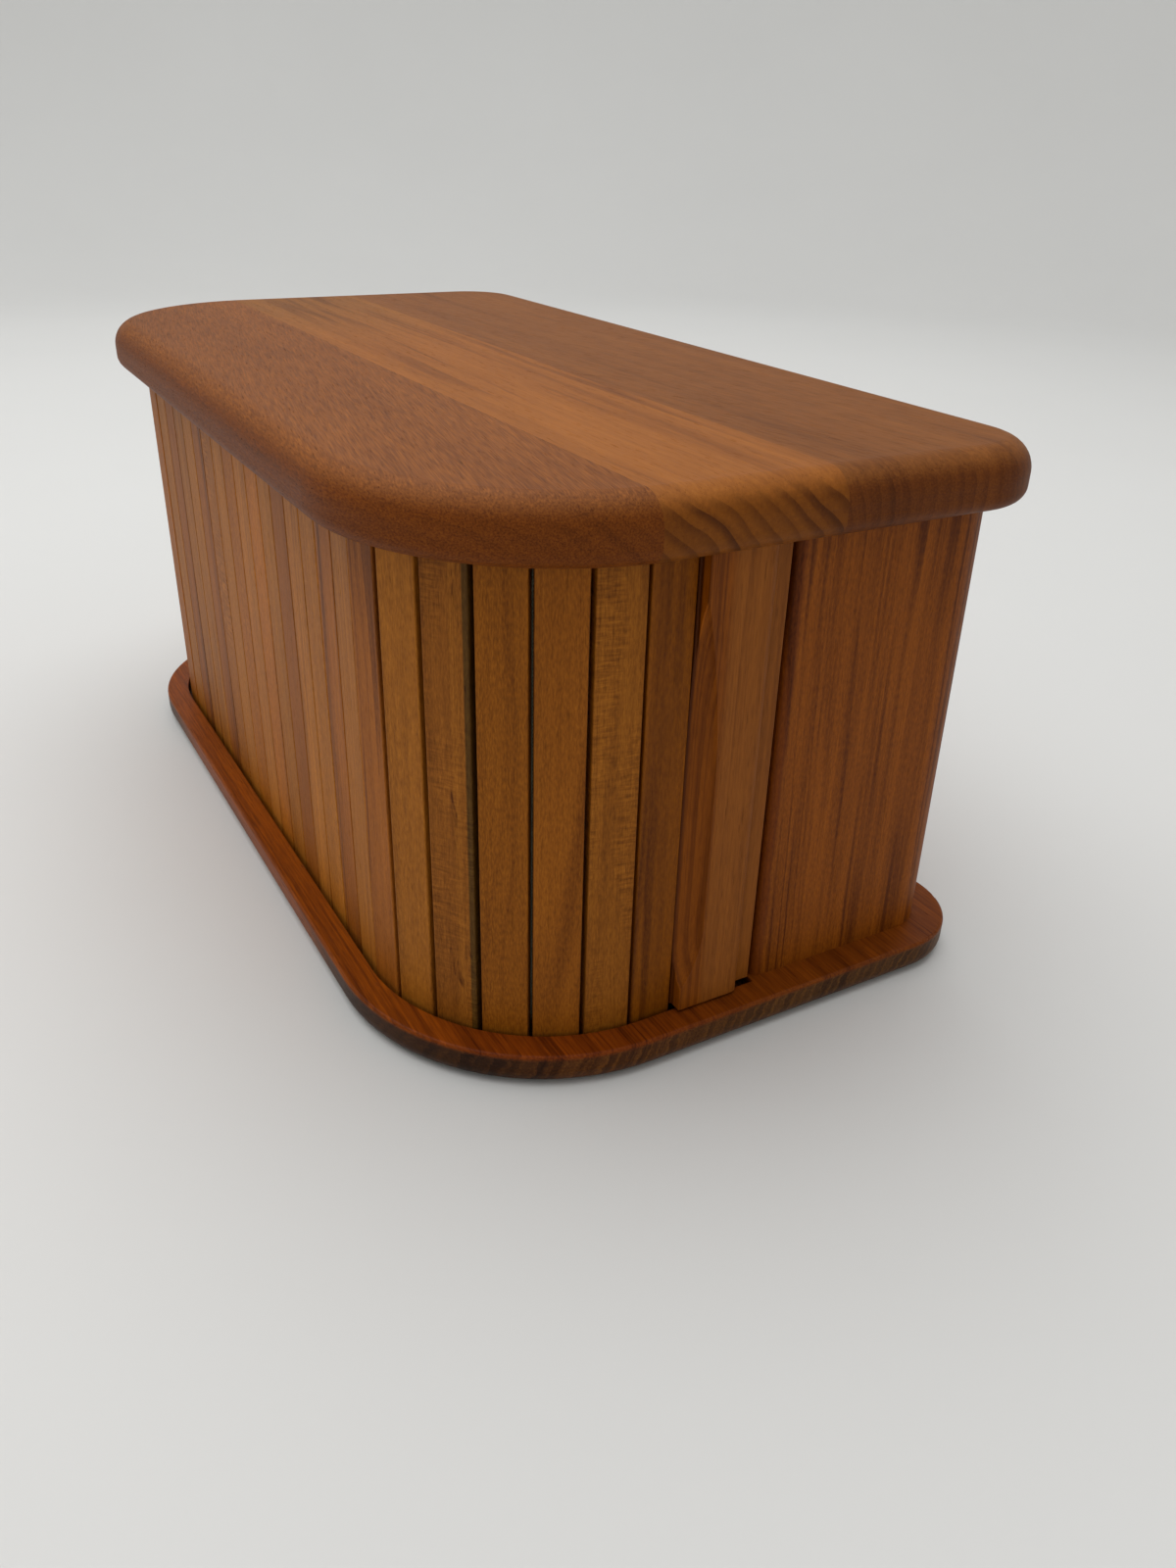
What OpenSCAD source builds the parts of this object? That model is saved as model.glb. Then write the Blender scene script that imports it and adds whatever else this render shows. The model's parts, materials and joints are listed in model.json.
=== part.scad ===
// Tambour lid box: two boards, three fixed panels and a slatted curtain that runs in grooves.
// Frame: origin under the middle of the base board, +X along the box, +Y to the back, +Z up.

/* [Boards] */
// Length of the base and top boards
board_l = 290; // [250:5:330]
// Width of the base and top boards
board_w = 156; // [144:2:176]
// Radius of the two front corners of the boards, seen from above
front_r = 55; // [48:1:60]
// Radius of the two back corners of the boards
back_r = 21; // [19:1:28]
// Thickness of the base board
base_t = 8.5; // [7.5:0.5:12]
// Thickness of the top board
top_t = 13.5; // [12.5:0.5:18]
// Rounding of the top board's upper edge
top_round = 7; // [3:0.5:8]
// Rounding of the top board's lower edge
top_under_round = 3.6; // [1:0.2:4.2]
// Rounding of the base board's upper edge
base_round = 0.8; // [0.4:0.1:1.5]
// Rounding of the base board's lower edge
base_under_round = 4; // [1:0.5:5]
// Width of the top board's front stave
front_stave_w = 50; // [40:1:58]
// Width of the top board's back stave
back_stave_w = 63; // [52:1:68]

/* [Body] */
// Clear height between the two boards
clear_h = 112.5; // [90:2.5:140]
// From the edge of a board in to the outer face of the body
rim = 8.5; // [7.5:0.5:10]
// Thickness of the fixed panels
panel_t = 7.5; // [6.5:0.5:8]
// Length of the fixed right panel, from its front edge to the back face
right_panel_l = 58.8; // [54:0.2:64]
// Length of the fixed left panel, from its front edge to the back face
left_panel_l = 58; // [54:0.5:60]
// Rounding of the right panel's front edge
panel_edge_r = 1.8; // [0.5:0.1:2.5]

/* [Curtain] */
// Thickness of a slat
slat_t = 3.2; // [2.8:0.1:3.8]
// Gap between two slats, and between two strips of backing, on a straight run
slat_gap = 0.3; // [0.25:0.05:0.5]
// Rounding of a slat's outer long edges
slat_edge_r = 0.4; // [0.2:0.1:0.6]
// Gap between the lead slat and the right panel with the lid closed
close_gap = 1.55; // [0.8:0.05:2]
// How far round the left-hand curve the closed curtain reaches
tail_reach = 38; // [32:1:46]
// Turn of the long left-hand curve, in degrees
easy_turn = 60; // [56:1:64]
// Radius of the slats' outer face on the inner back-left turn
inner_turn_r = 40; // [36:1:42]
// Thickness of the canvas backing
backing_t = 0.5; // [0.3:0.1:0.6]
// Height by which the backing stops short of each board
backing_short = 1; // [0.6:0.1:2]

/* [Lead slat] */
// Width of the lead slat
lead_w = 22.75; // [20:0.25:24]
// How far its finger block stands out from the slat's face
lead_proud = 3.2; // [2.4:0.1:3.6]
// Width of the thin lip on the closing side of the block
lip_w = 5.2; // [3:0.1:6]
// Width of the ledge on the other side of the block
strip_w = 0.4; // [0.4:0.1:2.5]
// Rounding of the block's edge next to the lip
block_round = 2.2; // [1:0.1:2.8]
// Gap between the lead slat and each board
lead_clear = 0.8; // [0.5:0.1:1.2]
// Radius of the finger cove
cove_r = 5.6; // [5:0.1:6]
// How far the cove cuts below the slat's face
cove_depth = 0.6; // [0.2:0.1:1]
// How far the cove's middle lies in from the lead slat's edge
cove_in = 0.3; // [0:0.1:0.6]
// Radius of the curve on which the cove runs out sideways at its lower end
cove_low_r = 22; // [18:1:30]
// Height above the lead slat's lower end at which the cove has its full width
cove_low_end = 22; // [18:1:30]
// Radius of the long curve on which the cove runs out sideways at its upper end
cove_high_r = 200; // [160:5:240]
// Distance below the lead slat's upper end at which the cove still has its full width
cove_high_end = 55; // [50:1:60]

/* [Grooves] */
// Depth of the groove in the base board
base_groove = 3.5; // [2.5:0.25:4]
// Depth of the groove in the top board
top_groove = 4.5; // [3.5:0.25:6]
// Clearance between the slats' outer face and the groove's outer wall
groove_out = 1.3; // [1.2:0.1:1.5]
// Clearance between the slats' back face and the groove's inner wall
groove_in = 1.1; // [1:0.1:1.4]
// Clearance under a slat's foot
foot_clear = 0.4; // [0.3:0.1:0.8]
// Clearance over a slat's head
head_clear = 0.6; // [0.4:0.1:1]
// How much wider and deeper than the groove the round cut is where a straight run meets a curve
joint_cut = 0.1; // [0.05:0.05:0.3]

/* [Fastenings] */
// Diameter of the base screws
screw_d = 3; // [2.5:0.1:3.2]
// Length of the base screws
screw_l = 20; // [16:1:26]
// Diameter of the screws' heads
screw_head_d = 6; // [5.4:0.1:6.6]
// Depth of the screws' countersunk heads
screw_head_h = 2; // [1.6:0.1:2.4]
// How far the screws' heads sit below the base board's underside
screw_sunk = 0.4; // [0.2:0.1:0.8]
// Diameter of the dowels that hold the top board
dowel_d = 4; // [3:0.2:4.4]
// Length of the dowels
dowel_l = 14; // [10:1:16]
// Clearance all round a screw or a dowel in its hole
hole_clear = 0.1; // [0.05:0.05:0.2]
// From the right panel's front edge to its first screw
right_fast_in = 14; // [10:1:18]
// From the left panel's front edge to its first screw
left_fast_in = 18; // [14:1:20]
// From the end of a side panel's straight part to its last screw
back_fast_in = 6; // [4:0.5:8]

/* [Hidden] */
slat_count = 33;
round_fn = 96;
fine_fn = 32;
// A hair of overlap where a cutter leaves a face
past = 1;
// Film of glue between the canvas and the slats
glue = 0.05;

// Heights
base_top = base_t;
top_under = base_t + clear_h;

// Outer faces of the body
body_x = board_l / 2 - rim;
body_y = board_w / 2 - rim;
front_body_r = front_r - rim;
back_body_r = back_r - rim;
corner_x = body_x - front_body_r;
corner_y = -body_y + front_body_r;
right_panel_y = body_y - right_panel_l;
left_panel_y = body_y - left_panel_l;

// The curtain's path, along the slats' back faces. It runs clockwise, seen from above.
path_r = front_body_r - slat_t;
panel_clear = 0.2;
run_y = body_y - panel_t - groove_out - panel_clear;
easy_r = inner_turn_r + (run_y - inner_turn_r - corner_y) / sin(easy_turn);
easy_x = -body_x + easy_r;
inner_turn_x = easy_x - (easy_r - inner_turn_r) * cos(easy_turn);
inner_turn_y = run_y - inner_turn_r;
run_end_x = body_x - panel_t - 2 * inner_turn_r / 3;

// Length of an arc
function arc_length(r, turn) = r * turn * PI / 180;
// One stretch of the path: its length, its radius or 0 where straight, the arc's centre or
// the straight's start, and the direction to the arc's start or along the straight
function straight(l, x, y, towards) = [l, 0, x, y, towards];
function arc(r, turn, x, y, from) = [arc_length(r, turn), r, x, y, from];
path = [
    straight(right_panel_y - corner_y, body_x - slat_t, right_panel_y, -90),
    arc(path_r, 90, corner_x, corner_y, 0),
    straight(2 * corner_x, corner_x, -body_y + slat_t, 180),
    arc(path_r, 90, -corner_x, corner_y, -90),
    arc(easy_r - slat_t, easy_turn, easy_x, corner_y, 180),
    arc(inner_turn_r - slat_t, 90 - easy_turn, inner_turn_x, inner_turn_y, 180 - easy_turn),
    straight(run_end_x - inner_turn_x, inner_turn_x, run_y - slat_t, 0)
];
last_stretch = len(path) - 1;
function stretch_start(i) = i == 0 ? 0 : stretch_start(i - 1) + path[i - 1][0];
function stretch_at(s, i = 0) = i == last_stretch || s < stretch_start(i + 1) ? i : stretch_at(s, i + 1);
// Angle turned on stretch i after the length u
function turned(i, u) = path[i][1] == 0 ? 0 : u / path[i][1] * 180 / PI;
// Direction of travel at the length s along the path
function heading(s) = let (i = stretch_at(s), q = path[i])
    (q[1] == 0 ? q[4] : q[4] - 90) - turned(i, s - stretch_start(i));
// Point at the length s along the path
function place(s) = let (i = stretch_at(s), q = path[i], u = s - stretch_start(i))
    [q[2], q[3]] + (q[1] == 0
        ? u * [cos(q[4]), sin(q[4])]
        : q[1] * [cos(q[4] - turned(i, u)), sin(q[4] - turned(i, u))]);

// Slats share what the path leaves between the lead slat and the curtain's tail
lead_s = close_gap + lead_w / 2;
slats_from = close_gap + lead_w + slat_gap / 2;
slats_to = stretch_start(4) + tail_reach;
pitch = (slats_to - slats_from) / slat_count;
slat_w = pitch - slat_gap;
function slat_s(i) = slats_from + (i - 0.5) * pitch;
function slat_edge_s(i) = slats_from + i * pitch;

foot_z = base_top - base_groove + foot_clear;
head_z = top_under + top_groove - head_clear;
lead_z = base_top + lead_clear;
lead_h = clear_h - 2 * lead_clear;
backing_z = base_top + backing_short;
backing_h = clear_h - 2 * backing_short;

// Fastenings sit on the panels' middle line
right_fast_y = [right_panel_y + right_fast_in, body_y - back_body_r - back_fast_in];
left_fast_y = [left_panel_y + left_fast_in, body_y - back_body_r - back_fast_in];
back_fast_x = [-0.75 * corner_x, 0, 0.75 * corner_x];
panel_mid_x = body_x - panel_t / 2;
fastenings = concat(
    [for (y = right_fast_y) [panel_mid_x, y]],
    [for (x = back_fast_x) [x, body_y - panel_t / 2]],
    [for (y = left_fast_y) [-panel_mid_x, y]]
);

// Slats that one stretch of backing carries, first and last
right_corner_slats = [2, 4];
front_slats = [8, 20];
left_corner_slats = [24, 27];
tail_slats = [31, 33];
// Slats that change from a straight run to a curve as the lid moves have a strip of their own
lone_slats = [1, 5, 6, 7, 21, 22, 23, 28, 29, 30];

function two_digits(i) = str(i < 10 ? "0" : "", i);
function slat_name(i) = str("slat_", two_digits(i));
function backing_name(i) = str("backing_", two_digits(i));

// ---- Boards ----

// Quarter of a disc, in the corner between +X and +Y or, with down, between +X and -Y
module quarter_disc(r, down = false) {
    intersection() {
        circle(r = r, $fn = fine_fn);
        translate([0, down ? -r : 0]) square(r);
    }
}

// Section of a board from depth inside its edge out to the edge
module board_section(depth, t, upper, lower) {
    square([depth - max(upper, lower), t]);
    translate([0, lower]) square([depth, t - upper - lower]);
    square([depth - lower, lower]);
    translate([0, t - upper]) square([depth - upper, upper]);
    translate([depth - upper, t - upper]) quarter_disc(upper);
    translate([depth - lower, lower]) quarter_disc(lower, down = true);
}

// A straight length l of the board's edge, whose inner line lies on the X axis
module board_edge(l, depth, t, upper, lower) {
    rotate([90, 0, 90]) linear_extrude(l) board_section(depth, t, upper, lower);
}

// One rounded corner of the board, from the direction a on through a quarter turn
module board_corner(x, y, a, r, t, upper, lower) {
    translate([x, y, 0]) rotate([0, 0, a])
        rotate_extrude(angle = 90, $fn = round_fn) board_section(r, t, upper, lower);
}

module board(t, upper, lower) {
    half_l = board_l / 2;
    half_w = board_w / 2;
    front_x = half_l - front_r;
    back_x = half_l - back_r;
    side_y0 = -half_w + front_r;
    side_y1 = half_w - back_r;
    translate([-front_x, side_y0, 0]) cube([2 * front_x, side_y1 - side_y0, t]);
    translate([front_x, side_y0, 0]) rotate([0, 0, 180])
        board_edge(2 * front_x, front_r, t, upper, lower);
    translate([-back_x, side_y1, 0]) board_edge(2 * back_x, back_r, t, upper, lower);
    translate([front_x, side_y1, 0]) rotate([0, 0, -90])
        board_edge(side_y1 - side_y0, front_r, t, upper, lower);
    translate([-front_x, side_y0, 0]) rotate([0, 0, 90])
        board_edge(side_y1 - side_y0, front_r, t, upper, lower);
    board_corner(front_x, side_y0, -90, front_r, t, upper, lower);
    board_corner(-front_x, side_y0, 180, front_r, t, upper, lower);
    board_corner(back_x, side_y1, 0, back_r, t, upper, lower);
    board_corner(-back_x, side_y1, 90, back_r, t, upper, lower);
}

// Children stand at the length s along the path: +X is the way the lid opens, +Y is outwards
module on_path(s) {
    p = place(s);
    translate([p[0], p[1], 0]) rotate([0, 0, heading(s)]) children();
}

// Band that follows the path from s0 to s1, between two offsets from the slats' back faces
module path_band(s0, s1, inner, outer, h) {
    for (i = [0:last_stretch]) {
        from = max(s0, stretch_start(i));
        to = min(s1, stretch_start(i) + path[i][0]);
        if (to - from > slat_gap && path[i][1] == 0)
            translate([path[i][2], path[i][3], 0]) rotate([0, 0, path[i][4]])
                translate([from - stretch_start(i), inner, 0]) cube([to - from, outer - inner, h]);
        if (to - from > slat_gap && path[i][1] > 0)
            translate([path[i][2], path[i][3], 0])
                rotate([0, 0, path[i][4] - turned(i, to - stretch_start(i))])
                    rotate_extrude(angle = turned(i, to - from), $fn = round_fn)
                        translate([path[i][1] + inner, 0]) square([outer - inner, h]);
    }
}

// The groove that the slats run in, with a round cut where each stretch meets the next
module groove(h) {
    path_end = stretch_start(last_stretch) + path[last_stretch][0];
    groove_w = groove_in + slat_t + groove_out;
    path_band(past, path_end, -groove_in, slat_t + groove_out, h);
    for (i = [1:last_stretch]) on_path(stretch_start(i)) translate([0, groove_w / 2 - groove_in, -joint_cut])
        cylinder(d = groove_w + joint_cut, h = h + 2 * joint_cut, $fn = round_fn);
}

module base_board() {
    color("saddlebrown") difference() {
        board(base_t, base_round, base_under_round);
        translate([0, 0, base_t - base_groove]) groove(base_groove + past);
        for (p = fastenings) translate([p[0], p[1], 0]) {
            translate([0, 0, -past]) cylinder(d = screw_d + 2 * hole_clear, h = base_t + 2 * past, $fn = fine_fn);
            screw_head_room();
        }
    }
}

// Countersink for one screw, open downwards
module screw_head_room() {
    translate([0, 0, -past])
        cylinder(d = screw_head_d + 2 * hole_clear, h = screw_sunk + past, $fn = fine_fn);
    translate([0, 0, screw_sunk])
        cylinder(d1 = screw_head_d + 2 * hole_clear, d2 = screw_d + 2 * hole_clear, h = screw_head_h, $fn = fine_fn);
}

// The part of the top board between two lines across the box
module top_stave(y0, y1) {
    difference() {
        translate([0, 0, top_under]) intersection() {
            board(top_t, top_round, top_under_round);
            translate([-board_l, y0, -past]) cube([2 * board_l, y1 - y0, top_t + 2 * past]);
        }
        translate([0, 0, top_under - past]) groove(top_groove + past);
        dowel_holes();
    }
}

module dowel_holes() {
    for (p = fastenings) translate([p[0], p[1], top_under - dowel_l / 2 - hole_clear])
        cylinder(d = dowel_d + 2 * hole_clear, h = dowel_l + 2 * hole_clear, $fn = fine_fn);
}

module top_front_stave() {
    color("#7a5232") top_stave(-board_w, -board_w / 2 + front_stave_w);
}

module top_middle_stave() {
    color("#9c6b3c") top_stave(-board_w / 2 + front_stave_w, board_w / 2 - back_stave_w);
}

module top_back_stave() {
    color("#84583a") top_stave(board_w / 2 - back_stave_w, board_w);
}

// ---- Fixed panels ----

// Flat side panel that turns the back corner, drawn for the right-hand end
module side_panel_blank(front_y, edge_r) {
    straight_end = body_y - back_body_r;
    inner_r = back_body_r - panel_t;
    translate([0, 0, base_top]) {
        translate([body_x - panel_t, front_y + edge_r, 0])
            cube([panel_t, straight_end - front_y - edge_r, clear_h]);
        translate([body_x - panel_t, front_y, 0]) cube([panel_t - edge_r, edge_r + 0.01, clear_h]);
        translate([body_x - edge_r, front_y + edge_r, 0]) cylinder(r = edge_r, h = clear_h, $fn = fine_fn);
        translate([body_x - back_body_r, straight_end, 0])
            rotate_extrude(angle = 90, $fn = round_fn) translate([inner_r, 0]) square([panel_t, clear_h]);
    }
}

// Holes for the screws' points and the dowels' lower halves
module panel_holes() {
    for (p = fastenings) translate([p[0], p[1], base_top - past])
        cylinder(d = screw_d + 2 * hole_clear, h = screw_l - base_top + screw_sunk + 2 * past, $fn = fine_fn);
    dowel_holes();
}

module right_panel() {
    color("peru") difference() {
        side_panel_blank(right_panel_y, panel_edge_r);
        panel_holes();
    }
}

// The left panel's inside is hollowed to let the curtain turn in behind it
module left_panel() {
    color("peru") difference() {
        mirror([1, 0, 0]) side_panel_blank(left_panel_y, panel_edge_r);
        translate([easy_x, corner_y, base_top - past])
            cylinder(r = easy_r + groove_out, h = clear_h + 2 * past, $fn = round_fn);
        panel_holes();
    }
}

module back_panel() {
    half = body_x - back_body_r;
    color("peru") difference() {
        translate([-half, body_y - panel_t, base_top]) cube([2 * half, panel_t, clear_h]);
        panel_holes();
    }
}

// ---- Fastenings ----

module base_screws() {
    color("goldenrod") for (p = fastenings) translate([p[0], p[1], screw_sunk]) {
        cylinder(d1 = screw_head_d, d2 = screw_d, h = screw_head_h, $fn = fine_fn);
        translate([0, 0, screw_head_h]) cylinder(d = screw_d, h = screw_l - screw_head_h, $fn = fine_fn);
    }
}

module top_dowels() {
    color("burlywood") for (p = fastenings) translate([p[0], p[1], top_under - dowel_l / 2])
        cylinder(d = dowel_d, h = dowel_l, $fn = fine_fn);
}

// ---- Curtain ----

// Cross-section of a slat, back face on the X axis, outer edges rounded
module slat_section(w, t, r) {
    translate([-w / 2, 0]) square([w, t - r]);
    translate([-w / 2 + r, 0]) square([w - 2 * r, t]);
    for (side = [-1, 1]) translate([side * (w / 2 - r), t - r]) circle(r = r, $fn = fine_fn);
}

module slat(i) {
    color(i % 3 == 0 ? "#8f6238" : i % 3 == 1 ? "#a4723f" : "#98673f") on_path(slat_s(i))
        translate([0, 0, foot_z]) linear_extrude(head_z - foot_z) slat_section(slat_w, slat_t, slat_edge_r);
}

// The lead slat: a wide slat with a finger block, whose narrow tongues run in the grooves
module lead_slat() {
    block_x0 = -lead_w / 2 + lip_w;
    block_x1 = lead_w / 2 - strip_w;
    block_y = slat_t + lead_proud;
    color("#8a5a3a") on_path(lead_s) difference() {
        union() {
            translate([0, 0, lead_z]) linear_extrude(lead_h) slat_section(lead_w, slat_t, slat_edge_r);
            translate([-slat_w / 2, 0, foot_z]) cube([slat_w, slat_t, head_z - foot_z]);
            translate([0, 0, lead_z]) linear_extrude(lead_h) {
                translate([block_x0, slat_t / 2]) square([block_x1 - block_x0, block_y - slat_t / 2 - block_round]);
                translate([block_x0 + block_round, slat_t / 2])
                    square([block_x1 - block_x0 - block_round - slat_edge_r, block_y - slat_t / 2]);
                translate([block_x0 + block_round, block_y - block_round]) circle(r = block_round, $fn = fine_fn);
                translate([block_x1 - block_round, slat_t / 2])
                    square([block_round, block_y - slat_t / 2 - slat_edge_r]);
                translate([block_x1 - slat_edge_r, block_y - slat_edge_r]) circle(r = slat_edge_r, $fn = fine_fn);
            }
        }
        finger_cove();
    }
}

// Half of the cove: straight down for h, then sideways off the slat on a curve of radius r
module cove_run(h, r) {
    leave = acos(1 - (cove_r + cove_in + past) / r);
    translate([0, 0, -h]) cylinder(r = cove_r, h = h, $fn = fine_fn);
    translate([r, 0, -h]) rotate([90, 0, 0]) rotate([0, 0, 180])
        rotate_extrude(angle = leave, $fn = round_fn) translate([r, 0]) circle(r = cove_r, $fn = fine_fn);
}

// Upright cove along the block's opening side
module finger_cove() {
    low_z = lead_z + cove_low_end;
    high_z = lead_z + lead_h - cove_high_end;
    half = (high_z - low_z) / 2;
    translate([lead_w / 2 - cove_in, slat_t - cove_depth + cove_r, low_z + half]) {
        cove_run(half, cove_low_r);
        mirror([0, 0, 1]) cove_run(half, cove_high_r);
    }
}

// Flat strip of canvas on the back of one slat
module flat_backing(s, w) {
    color("#8c8f7c") on_path(s)
        translate([-w / 2, -glue - backing_t, backing_z]) cube([w, backing_t, backing_h]);
}

// Canvas on the backs of a row of slats
module row_backing(slats) {
    color("#8c8f7c") translate([0, 0, backing_z])
        path_band(slat_edge_s(slats[0] - 1) + slat_gap / 2, slat_edge_s(slats[1]) - slat_gap / 2,
            -glue - backing_t, -glue, backing_h);
}

base_board();
top_front_stave();
top_middle_stave();
top_back_stave();
right_panel();
back_panel();
left_panel();
base_screws();
top_dowels();
lead_slat();
for (i = [1:slat_count]) slat(i);
flat_backing(lead_s, lead_w - slat_gap);  // backing_lead
row_backing(right_corner_slats);  // backing_right_corner
row_backing(front_slats);  // backing_front
row_backing(left_corner_slats);  // backing_left_corner
row_backing(tail_slats);  // backing_tail
for (i = lone_slats) flat_backing(slat_s(i), slat_w);
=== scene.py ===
"""Looks of the tambour lid box: oiled teak, a canvas-backed curtain of slats, brass screws and a pale studio.

Every length is in millimetres until it goes into a mesh or a lamp, where MM turns it into metres. The frame is
the CAD's: origin under the middle of the base board, +X along the box, +Y to the back, +Z up.
"""

from __future__ import annotations

import json
import logging
import math
from collections.abc import Mapping, Sequence
from dataclasses import dataclass, replace
from enum import Enum

import bpy
import numpy as np
from mathutils import Matrix, Vector

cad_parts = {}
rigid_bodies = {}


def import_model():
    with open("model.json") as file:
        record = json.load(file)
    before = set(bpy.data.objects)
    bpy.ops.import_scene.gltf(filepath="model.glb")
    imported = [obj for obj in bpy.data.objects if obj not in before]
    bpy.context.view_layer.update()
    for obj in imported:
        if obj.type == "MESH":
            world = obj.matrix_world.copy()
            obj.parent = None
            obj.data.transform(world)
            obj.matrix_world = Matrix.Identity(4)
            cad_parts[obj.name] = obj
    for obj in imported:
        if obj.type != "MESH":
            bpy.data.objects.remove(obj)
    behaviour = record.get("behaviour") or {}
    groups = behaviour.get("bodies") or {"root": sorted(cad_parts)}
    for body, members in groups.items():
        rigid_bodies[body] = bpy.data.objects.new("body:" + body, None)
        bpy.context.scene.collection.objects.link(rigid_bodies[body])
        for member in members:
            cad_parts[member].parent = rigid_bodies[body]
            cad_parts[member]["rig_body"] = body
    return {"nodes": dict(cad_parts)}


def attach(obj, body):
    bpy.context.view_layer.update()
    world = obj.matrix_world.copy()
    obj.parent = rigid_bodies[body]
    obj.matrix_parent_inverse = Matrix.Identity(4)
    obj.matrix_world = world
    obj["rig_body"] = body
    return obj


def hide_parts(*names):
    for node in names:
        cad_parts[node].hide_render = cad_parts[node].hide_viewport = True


LOG = logging.getLogger("tambour_box")
MM = 0.001
Point = tuple[float, float, float]
Colour = tuple[float, float, float, float]
Pair = tuple[float, float]
Fade = Pair  # Where something starts to show, and where it shows in full.
Socket = bpy.types.NodeSocket


def stain(red: int, green: int, blue: int) -> Colour:
    """Turn a colour as a paint chart gives it into the linear light that a shader takes.

    Each channel c out of 255 becomes c/12.92 where it is very dark, and else ((c + 0.055) / 1.055) to the 2.4.

    Args:
        red: Red, from 0 to 255.
        green: Green, from 0 to 255.
        blue: Blue, from 0 to 255.

    Returns:
        The colour with an alpha of 1.
    """
    parts = [c / 255 for c in (red, green, blue)]
    linear = [c / 12.92 if c <= 0.04045 else ((c + 0.055) / 1.055) ** 2.4 for c in parts]
    return (linear[0], linear[1], linear[2], 1.0)


def inside(face: float, fade: Fade) -> Fade:
    """Places of a fade that is given by its depths inside a face."""
    return face - fade[0], face - fade[1]


# ---- Shader maths ----


class Operation(Enum):
    """What a Math node works out, by Blender's name for it."""

    ADD = "ADD"
    SUBTRACT = "SUBTRACT"
    MULTIPLY = "MULTIPLY"
    DIVIDE = "DIVIDE"
    SIZE = "ABSOLUTE"
    ROOT = "SQRT"
    SINE = "SINE"
    PART = "FRACT"
    WHOLE = "FLOOR"


class Blend(Enum):
    """How one colour is laid over another."""

    COVER = "MIX"
    TINT = "MULTIPLY"


class Amount:
    """A number that changes over a surface: one shader socket that takes Python's arithmetic."""

    def __init__(self, graph: Graph, socket: Socket) -> None:
        """Wrap a socket of the graph."""
        self.graph = graph
        self.socket = socket

    def _maths(self, operation: Operation, *terms: Amount | float) -> Amount:
        """Add one Math node and take its result."""
        made = self.graph.node("ShaderNodeMath", {"operation": operation.value}, dict(enumerate(terms)))
        return Amount(self.graph, made.outputs[0])

    def __add__(self, other: Amount | float) -> Amount:
        """Sum of the two."""
        return self._maths(Operation.ADD, self, other)

    def __radd__(self, other: float) -> Amount:
        """Sum with a plain number on the left."""
        return self._maths(Operation.ADD, other, self)

    def __sub__(self, other: Amount | float) -> Amount:
        """Difference of the two."""
        return self._maths(Operation.SUBTRACT, self, other)

    def __rsub__(self, other: float) -> Amount:
        """Difference from a plain number."""
        return self._maths(Operation.SUBTRACT, other, self)

    def __mul__(self, other: Amount | float) -> Amount:
        """Product of the two."""
        return self._maths(Operation.MULTIPLY, self, other)

    def __rmul__(self, other: float) -> Amount:
        """Product with a plain number on the left."""
        return self._maths(Operation.MULTIPLY, other, self)

    def __truediv__(self, other: Amount | float) -> Amount:
        """Quotient of the two."""
        return self._maths(Operation.DIVIDE, self, other)

    def __rtruediv__(self, other: float) -> Amount:
        """Quotient with a plain number on the left."""
        return self._maths(Operation.DIVIDE, other, self)

    def __abs__(self) -> Amount:
        """Size without its sign."""
        return self._maths(Operation.SIZE, self)

    def root(self) -> Amount:
        """Square root."""
        return self._maths(Operation.ROOT, self)

    def sine(self) -> Amount:
        """Sine of an angle in radians."""
        return self._maths(Operation.SINE, self)

    def part(self) -> Amount:
        """What is left over a whole number."""
        return self._maths(Operation.PART, self)

    def whole(self) -> Amount:
        """Whole number at or below this one."""
        return self._maths(Operation.WHOLE, self)

    def rise(self, low: float, high: float) -> Amount:
        """Climb smoothly from 0 at low to 1 at high.

        Args:
            low: The value that gives 0.
            high: The value that gives 1, which may be the smaller of the two.

        Returns:
            t * t * (3 - 2 t), where t is how far the value has come from low to high.
        """
        limits = {"From Min": min(low, high), "From Max": max(low, high)}
        ends = {"To Min": 1.0, "To Max": 0.0} if low > high else {"To Min": 0.0, "To Max": 1.0}
        made = self.graph.node("ShaderNodeMapRange", {"interpolation_type": "SMOOTHSTEP"},
                               {"Value": self, **limits, **ends})
        return Amount(self.graph, made.outputs["Result"])


@dataclass(frozen=True)
class Pattern:
    """One layer of chance.

    Its size is in millimetres on each axis, which on wood are across the grain, in depth and along the grain.
    Detail is how many finer layers are added, rough how strong they are, and twist how far it pushes itself about.
    """

    size: Point
    detail: float = 2
    rough: float = 0.5
    twist: float = 0


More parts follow.
